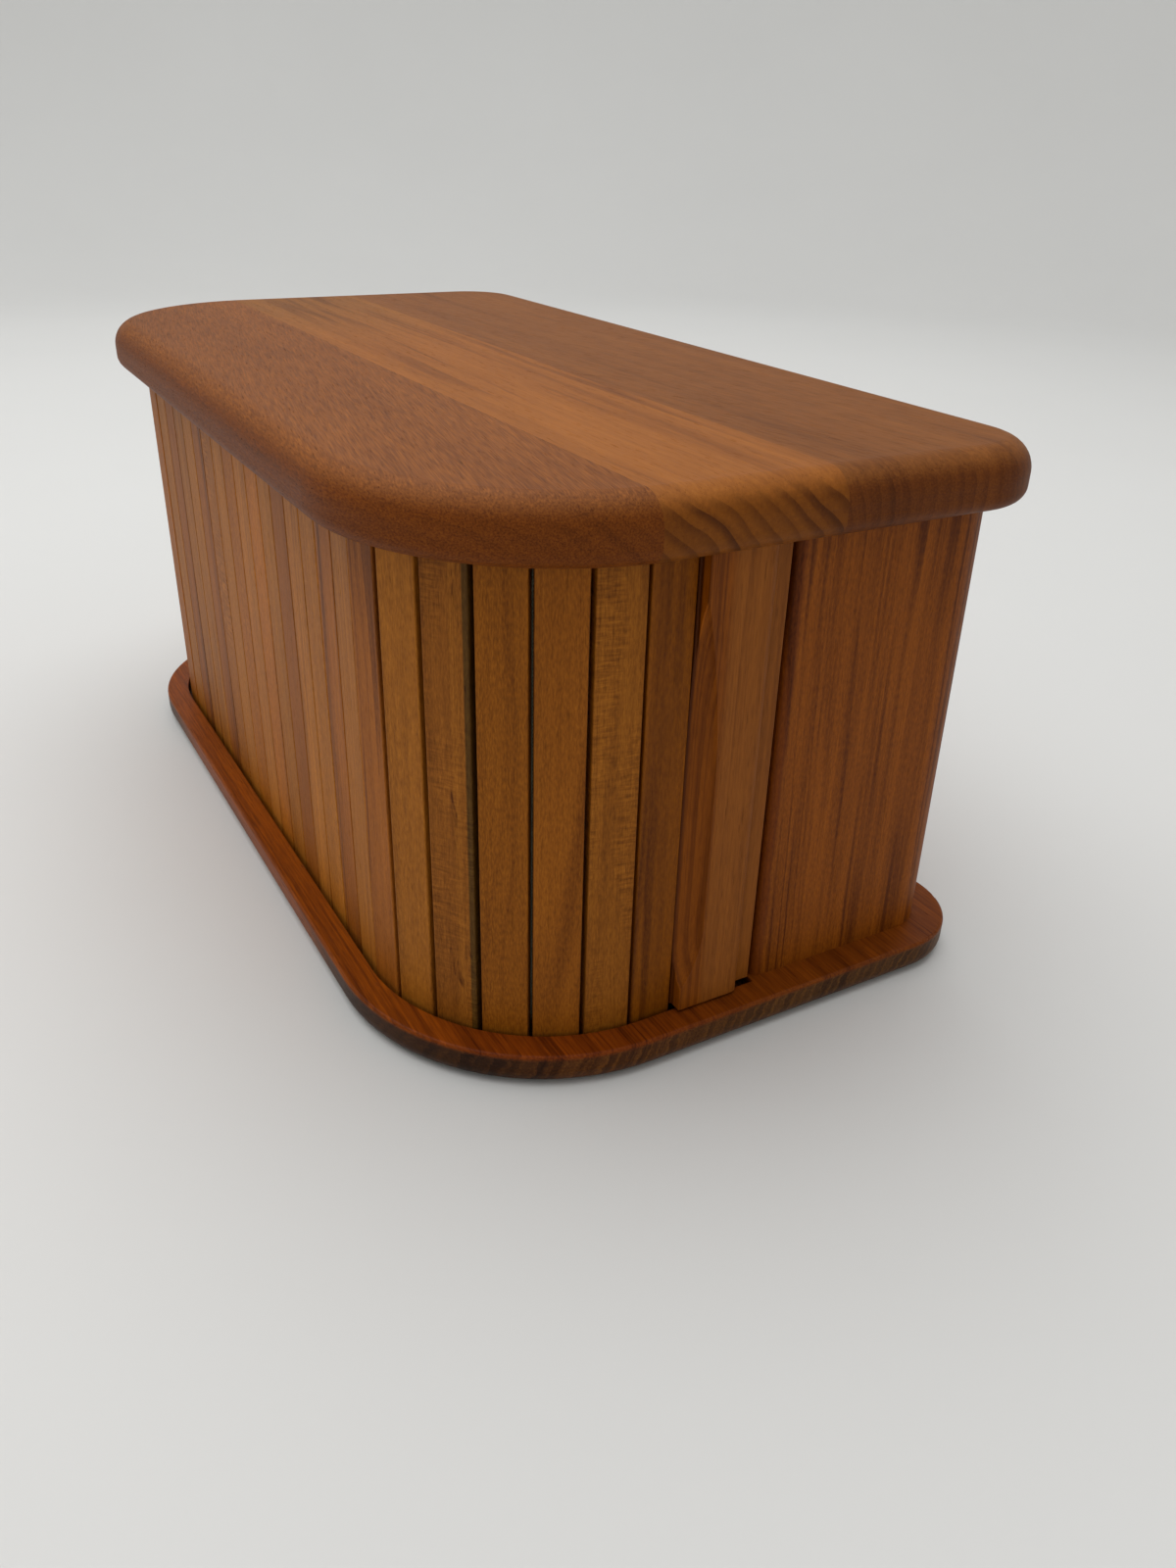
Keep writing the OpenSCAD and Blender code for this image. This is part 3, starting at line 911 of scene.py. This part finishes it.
@dataclass
class Curtain:
    """The lead slat and the 33 slats, each from its own strip of teak.

    A fade named for an edge is depths inside the slat's edge, and any other is places on the slat. Pairs from
    heart_across to waver are the least and the most that chance may give. The light_levels are painted light: how
    much lighter the slats at light_level_at are made, where light falls, and each slat's own chance comes on top.
    """

    frame: Frame
    sizes: BoxSizes
    path: CurtainPath
    near: tuple[Teak, ...] = (DUSKY, CURLY, FLAMED, MOTTLED, MARKED, SMOOTH, UMBER, STRAIGHT)
    far: tuple[Teak, ...] = (SMOOTH, STRAIGHT, UMBER, SMOOTH, FLAMED, STRAIGHT, MOTTLED, SMOOTH, CURLY, UMBER)
    chance_seed: int = 33
    heart_across: Pair = (8, 90)
    heart_in_depth: Pair = (-60, -20)
    slope: Pair = (-0.02, 0.02)
    waver: Pair = (0.8, 2.0)
    first_seed: float = 10.0
    # The light_levels are painted light: the slats along the front are made lighter where light falls on them.
    light_level_at: tuple[int, ...] = (5, 8, 16, 20)
    light_levels: tuple[float, ...] = (1.0, 1.2, 1.2, 1.06)
    level_chance: Pair = (0.93, 1.07)
    level_green: float = 1.05
    # Painted shade along the slats' edges, where the gaps between slats fall dark, wobbled by noise and stronger on
    # the near slats.
    gap_shade: Colour = (0.4, 0.34, 0.3, 1.0)
    gap_shade_edge: Fade = (0.25, -0.1)
    gap_shade_wobble: Pattern = Pattern((1.5, 1.5, 8), detail=3)
    wobble_reach: float = 0.3
    near_gap_shade: float = 0.45
    far_gap_shade: float = 0.25
    stained: int = 5
    sapwood: Colour = (1.3, 1.38, 1.3, 1.0)
    sapwood_across: Fade = (-0.4, -1.6)
    sapwood_share: float = 0.6
    # Painted shade: a dark olive strip along slat 5's edge next to slat 4, for the shade on its side face.
    glue: Colour = (0.36, 0.48, 0.7, 1.0)
    side_shade_edge: Fade = (-1.5, -1.15)
    lead: Teak = Teak(stain(138, 78, 24), bands=0.2, band_gap=5, lines=0.15, fibres=0.2, fibre_gap=0.7,
                      flecks=0.16, fleck_size=(0.35, 3.0), marks=0.1)
    lead_cut: Cut = Cut((-90.0, 10.0), (0.01, 0.0), 1.0, 8)
    cove: Colour = (0.96, 0.82, 0.31, 1.0)
    cove_across: Fade = (4.0, 6.5)
    stripe: Colour = (0.68, 0.64, 0.6, 1.0)
    stripes: Pattern = Pattern((0.5, 40, 150), rough=0.6)
    stripe_edge: Fade = (0.1, -0.25)
    # Painted shade in the joint between the lead slat and the first slat.
    seam_shade_edge: Fade = (0.75, 0.4)
    seam_shade_depth: Fade = (4.1, 3.6)
    seam_shade_share: float = 0.8
    # Painted light: lifts the lead slat's side face just under the top board, which falls in shade.
    side: Colour = (2.0, 2.1, 1.0, 1.0)
    side_light_edge: Fade = (0.9, 0.5)
    side_light_back: Fade = (3.6, 4.1)
    side_light_front: Fade = (6.2, 5.5)
    side_light_along: Fade = (20, 34)

    def dress_lead(self) -> None:
        """Dress the lead slat: fine upright stripes in its cove, and plainer wood on its block."""
        half = self.sizes.lead_w / 2
        board = TeakBoard("teak_lead_slat", self.lead, self.lead_cut, self.path.seat(self.sizes.close_gap + half))
        cove = board.across.rise(*self.cove_across)
        stripes = board.noise(self.stripes).rise(*self.stripe_edge)
        # Painted shade in the joint with the first slat.
        seam_shade = board.across.rise(*inside(half, self.seam_shade_edge)) * board.depth.rise(*self.seam_shade_depth)
        # Painted light on the side face under the top board, which falls in shade.
        side = board.across.rise(*inside(half, self.side_light_edge)) * board.depth.rise(*self.side_light_back)
        side = side * board.depth.rise(*self.side_light_front) * board.along.rise(*self.side_light_along)
        tints = [(cove, self.cove), (cove * stripes, self.stripe), (seam_shade * self.seam_shade_share, self.gap_shade)]
        self.frame.coat("lead_slat", board.dress([*tints, (side, self.side)]))

    def saw(self, chance: np.random.Generator, index: int) -> Cut:
        """Saw one slat from a tree, by chance.

        Args:
            chance: The source of chance, which is drawn from in this order.
            index: The slat, counted from 1.

        Returns:
            The slat's cut.
        """
        side = chance.choice((-1.0, 1.0))
        heart = (side * chance.uniform(*self.heart_across), chance.uniform(*self.heart_in_depth))
        slope = (chance.uniform(*self.slope), chance.uniform(*self.slope))
        return Cut(heart, slope, chance.uniform(*self.waver), self.first_seed + index)

    def dress(self) -> None:
        """Dress the lead slat and every slat."""
        self.dress_lead()
        chance = np.random.default_rng(self.chance_seed)
        half = (self.path.pitch - self.sizes.slat_gap) / 2
        for index in range(1, self.sizes.slat_count + 1):
            near = index <= len(self.near)
            teak = self.near[index - 1] if near else self.far[index % len(self.far)]
            cut = self.saw(chance, index)
            # The lightness along the curtain is painted light; the chance on top is each slat's own tone.
            level = float(np.interp(index, self.light_level_at, self.light_levels) * chance.uniform(*self.level_chance))
            teak = replace(teak, colour=teak.tinted(level, level * self.level_green, level))
            board = TeakBoard(f"teak_slat_{index:02d}", teak, cut, self.path.seat(self.path.slat_middle(index)))
            # Painted shade along the slat's edges, for the dark gaps between slats.
            shade_wobble = board.noise(self.gap_shade_wobble) * self.wobble_reach
            edge = (abs(board.across) + shade_wobble).rise(*inside(half, self.gap_shade_edge))
            tints = [(edge * (self.near_gap_shade if near else self.far_gap_shade), self.gap_shade)]
            if index == self.stained:
                tints.append((board.across.rise(*self.sapwood_across) * self.sapwood_share, self.sapwood))
                # Painted shade: a dark strip along this slat's edge, for the shade on its side face.
                tints.append((board.across.rise(*inside(-half, self.side_shade_edge)), self.glue))
            self.frame.coat(f"slat_{index:02d}", board.dress(tints))


@dataclass
class Canvas:
    """The canvas glued to the slats' backs, in the strips that the joints divide it into.

    A row is a strip's name and its first and last slat, and each single slat has a strip of its own. The cloth
    sinks from a share of the way from a slat's middle to its edge, and dark and light are stops of its ramp.
    """

    frame: Frame
    sizes: BoxSizes
    path: CurtainPath
    rows: tuple[tuple[str, int, int], ...] = (("right_corner", 2, 4), ("front", 8, 20), ("left_corner", 24, 27),
                                              ("tail", 31, 33))
    single: tuple[int, ...] = (1, 5, 6, 7, 21, 22, 23, 28, 29, 30)
    edge_gap: float = 0.04
    pucker: float = 0.1
    sink_from: float = 0.86
    step_across: float = 1.1
    least_across: int = 13
    points_up: int = 25
    thread_gap: float = 0.9
    thread_relief: float = 0.12
    slub: Pattern = Pattern((20 / 3, 5 / 11, 1), detail=3)
    shade: Pattern = Pattern((20, 20, 1), detail=3)
    weave_share: float = 0.5
    slub_share: float = 0.3
    shade_share: float = 0.3
    dark: tuple[float, Colour] = (0.15, stain(70, 70, 56))
    light: tuple[float, Colour] = (0.85, stain(140, 138, 116))
    roughness: float = 0.92

    @property
    def height(self) -> float:
        """Height of every strip."""
        return self.sizes.clear_h - 2 * self.sizes.backing_short

    def finish(self) -> bpy.types.Material:
        """Greenish grey plain weave, worked out on the strip's own UV map in metres.

        Returns:
            The finished material.
        """
        graph = Graph("canvas")
        at = graph.node("ShaderNodeUVMap", {"uv_map": "cloth"})
        scaled = graph.stretched(at.outputs[0], (1 / MM, 1 / MM, 1 / MM))
        across, along, _ = graph.axes(scaled)
        thread = 2 * math.pi / self.thread_gap
        weave = ((across * thread).sine() * (along * thread).sine()) * 0.5 + 0.5
        tone = weave * self.weave_share + graph.noise(scaled, self.slub) * self.slub_share
        tone = tone + graph.noise(scaled, self.shade) * self.shade_share
        colour = graph.ramp(tone, [self.dark, self.light])
        return graph.finish({"Base Color": colour, "Roughness": self.roughness}, weave, self.thread_relief)

    def strip(self, name: str, s0: float, s1: float, flat: bool) -> bpy.types.Object:
        """One strip as a sheet of its own.

        At the length s along the path and the height z, the cloth lies behind the path by the glue and half its
        thickness, and sinks a little further back between two slats. Behind a single slat it is flat.

        Args:
            name: The piece's name.
            s0: Where it starts along the path.
            s1: Where it ends.
            flat: Whether it lies on one slat's straight back.

        Returns:
            The sheet, with its own UV map in metres.
        """
        across = np.linspace(s0, s1, max(self.least_across, int((s1 - s0) / self.step_across) + 1))
        up = np.linspace(0.0, self.height, self.points_up)
        behind = self.sizes.glue + self.sizes.backing_t / 2
        if flat:
            x, y, heading = self.path.find((s0 + s1) / 2)
            poses = np.array([(x, y, heading)] * len(across))
            run = across - (s0 + s1) / 2
        else:
            poses = np.array([self.path.find(s) for s in across])
            run = np.zeros_like(across)
        angle = np.radians(poses[:, 2])
        along = np.stack([np.cos(angle), np.sin(angle)], 1)
        out = np.stack([-np.sin(angle), np.cos(angle)], 1)
        from_middle = np.abs((across - self.path.slats_from) / self.path.pitch % 1.0 - 0.5) * 2.0
        sink = behind + self.pucker * np.clip((from_middle - self.sink_from) / (1 - self.sink_from), 0, 1) ** 2
        line = poses[:, :2] + along * run[:, None] - out * sink[:, None]
        grid_s, grid_z = np.meshgrid(across, up)
        points = np.stack([np.broadcast_to(line[:, 0], grid_s.shape), np.broadcast_to(line[:, 1], grid_s.shape),
                           self.sizes.base_t + self.sizes.backing_short + grid_z], -1)
        piece = surface(name, points, np.stack([grid_s - s0, grid_z], -1))
        solid = piece.modifiers.new("thickness", "SOLIDIFY")
        solid.thickness = self.sizes.backing_t * MM
        solid.offset = 0.0
        return piece

    def strips(self) -> list[tuple[str, float, float, tuple[str, ...]]]:
        """Share the canvas out.

        Returns:
            Each strip's name, where it starts and ends along the path, and the nodes that it is glued to.
        """
        sizes, path, gap = self.sizes, self.path, self.edge_gap
        found = [("lead", sizes.close_gap + sizes.slat_gap / 2, path.slats_from - gap, ("lead_slat",))]
        for name, first, last in (*self.rows, *((f"{i:02d}", i, i) for i in self.single)):
            carried = tuple(f"slat_{i:02d}" for i in range(first, last + 1))
            found.append((name, path.slat_edge(first - 1) + gap, path.slat_edge(last) - gap, carried))
        return found

    def build(self) -> None:
        material = self.finish()
        height = self.height
        for name, s0, s1, carried in self.strips():
            node = f"backing_{name}"
            piece = self.strip(f"canvas_{name}", s0, s1, len(carried) == 1)
            piece.data.materials.append(material)
            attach(piece, self.frame.nodes[node]["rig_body"])
            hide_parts(node)
            (s1 - s0) * MM
            LOG.info("%s: %.1f by %.1f mm", piece.name, s1 - s0, height)


def surface(name: str, points: np.ndarray, flat: np.ndarray) -> bpy.types.Object:
    """Put a grid of points into a mesh.

    Quad (i, j) joins points (i, j), (i, j + 1), (i + 1, j + 1) and (i + 1, j).

    Args:
        name: The piece's name.
        points: Rows by columns by three, in millimetres.
        flat: Rows by columns by two: each point's place on the flat sheet, in millimetres.

    Returns:
        The piece, linked to the scene.
    """
    rows, columns = points.shape[:2]
    corner = (np.arange(rows - 1)[:, None] * columns + np.arange(columns - 1)[None, :]).ravel()
    quads = np.stack([corner, corner + 1, corner + columns + 1, corner + columns], 1)
    mesh = bpy.data.meshes.new(name)
    mesh.from_pydata((points.reshape(-1, 3) * MM).tolist(), [], quads.tolist())
    mesh.polygons.foreach_set("use_smooth", np.ones(len(quads), bool))
    layer = mesh.uv_layers.new(name="cloth")
    layer.data.foreach_set("uv", (flat.reshape(-1, 2)[quads.ravel()] * MM).astype(np.float32).ravel())
    mesh.update()
    piece = bpy.data.objects.new(name, mesh)
    bpy.context.scene.collection.objects.link(piece)
    return piece


@dataclass
class Fastenings:
    """Brass screws up through the base and beech dowels into the top."""

    frame: Frame
    sizes: BoxSizes
    bright: Colour = stain(196, 154, 82)
    dull: Colour = stain(132, 96, 48)
    film: Pattern = Pattern((5 / 3, 5 / 3, 5 / 3), detail=3)
    film_edge: Fade = (0.35, 0.7)
    film_rough: float = 0.2
    turning: Pattern = Pattern((2, 2, 1 / 9))
    turning_relief: float = 0.02
    polish: float = 0.26
    beech: Teak = Teak(stain(196, 156, 108), bands=0.15, lines=0.1, flecks=0.3)
    dowel_cut: Cut = Cut(seed=70)

    def brass(self) -> bpy.types.Material:
        """Turned brass with a dull film in patches.

        Returns:
            The finished material.
        """
        graph = Graph("screw_brass")
        at = graph.place(Seat((0, 0, 0), Grain.UPRIGHT.turn()))
        film = graph.noise(at, self.film).rise(*self.film_edge)
        inputs = {"Base Color": graph.mix(film, self.bright, self.dull), "Metallic": 1.0,
                  "Roughness": self.polish + film * self.film_rough}
        return graph.finish(inputs, graph.noise(at, self.turning), self.turning_relief)

    def dress(self) -> None:
        """Dress the screws and the dowels."""
        self.frame.coat("base_screws", self.brass())
        seat = Seat((0, 0, self.sizes.under_top_z), Grain.UPRIGHT.turn())
        self.frame.coat("top_dowels", TeakBoard("beech_dowels", self.beech, self.dowel_cut, seat).dress())


# ---- Studio ----


@dataclass
class Studio:
    """The pale floor that turns up into a wall all round, one large lamp, and the camera of the photograph."""

    camera_at: Point = (325.509, -147.765, 192.387)
    azimuth: float = 59.7978
    elevation: float = 28.3465
    roll: float = 1.5987
    lens: float = 28.06
    sensor: float = 36.0
    nearest: float = 10
    flat_rings: tuple[float, ...] = (0.0, 300.0, 800.0)
    floor_r: float = 1300
    turn_r: float = 700
    turn_points: int = 24
    spokes: int = 97
    wall_top: float = 1500
    below: float = 0.1
    pale: Colour = stain(221, 221, 219)
    cloud_dark: float = 0.95
    cloud: Pattern = Pattern((250, 250, 250), detail=3)
    paper_rough: float = 0.75
    lamp_at: Point = (-300, -100, 1400)
    lamp_towards: Point = (0, 0, 60)
    lamp_side: float = 1900
    lamp_watts: float = 20
    air: Colour = (1.0, 1.0, 1.0, 1.0)
    air_strength: float = 0.46

    def floor(self) -> None:
        """Turn the floor's profile round the middle: flat, then a quarter circle up, then a wall."""
        angle = np.linspace(0, math.pi / 2, self.turn_points)
        reach = np.concatenate([self.flat_rings, self.floor_r + self.turn_r * np.sin(angle),
                                [self.floor_r + self.turn_r]])
        rise = np.concatenate([np.zeros(len(self.flat_rings)), self.turn_r * (1 - np.cos(angle)), [self.wall_top]])
        turn = np.linspace(0, 2 * math.pi, self.spokes)
        grid_a, grid_r = np.meshgrid(turn, reach)
        grid_z = np.broadcast_to(rise[:, None] - self.below, grid_a.shape)
        points = np.stack([grid_r * np.cos(grid_a), grid_r * np.sin(grid_a), grid_z], -1)
        floor = surface("studio_floor", points, points[..., :2])
        graph = Graph("studio_paper")
        cloud = graph.noise(graph.place(Seat((0, 0, 0), Grain.UPRIGHT.turn())), self.cloud)
        shaded = (*(c * self.cloud_dark for c in self.pale[:3]), 1.0)
        paper = graph.finish({"Base Color": graph.mix(cloud, self.pale, shaded), "Roughness": self.paper_rough})
        floor.data.materials.append(paper)

    def light(self) -> None:
        """Hang one square area lamp over the box and light the world evenly."""
        data = bpy.data.lights.new("lamp_over", "AREA")
        data.shape = "SQUARE"
        data.size = self.lamp_side * MM
        data.energy = self.lamp_watts
        lamp = bpy.data.objects.new("lamp_over", data)
        lamp.location = Vector(self.lamp_at) * MM
        back = Vector(self.lamp_at) - Vector(self.lamp_towards)
        lamp.rotation_euler = back.to_track_quat("Z", "Y").to_euler()
        bpy.context.scene.collection.objects.link(lamp)
        world = bpy.data.worlds.new("studio_air")
        world.use_nodes = True
        air = world.node_tree.nodes["Background"]
        air.inputs["Color"].default_value = self.air
        air.inputs["Strength"].default_value = self.air_strength
        bpy.context.scene.world = world

    def camera(self) -> None:
        """Stand the camera where the photograph was taken from."""
        a, e, r = (math.radians(x) for x in (self.azimuth, self.elevation, self.roll))
        back = Vector((math.sin(a) * math.cos(e), -math.cos(a) * math.cos(e), math.sin(e)))
        level = Vector((math.cos(a), math.sin(a), 0.0))
        upright = back.cross(level)
        right = level * math.cos(r) + upright * math.sin(r)
        up = upright * math.cos(r) - level * math.sin(r)
        data = bpy.data.cameras.new("camera")
        data.lens = self.lens
        data.sensor_width = self.sensor
        data.clip_start = self.nearest * MM
        camera = bpy.data.objects.new("camera", data)
        turn = Matrix((right, up, back)).transposed().to_4x4()
        camera.matrix_world = Matrix.Translation(Vector(self.camera_at) * MM) @ turn
        bpy.context.scene.collection.objects.link(camera)
        bpy.context.scene.camera = camera


def main() -> None:
    """Load the frame, dress every piece and set the studio."""
    logging.basicConfig(level=logging.INFO, format="%(name)s: %(message)s")
    frame = Frame(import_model()["nodes"])
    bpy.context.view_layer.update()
    sizes = BoxSizes()
    path = CurtainPath(sizes)
    boards = Boards(frame, sizes)
    boards.dress_top()
    boards.dress_base()
    Panels(frame, sizes).dress()
    Curtain(frame, sizes, path).dress()
    Fastenings(frame, sizes).dress()
    Canvas(frame, sizes, path).build()
    studio = Studio()
    studio.floor()
    studio.light()
    studio.camera()
    bpy.context.scene.view_settings.view_transform = "Standard"


if __name__ == "__main__":
    main()
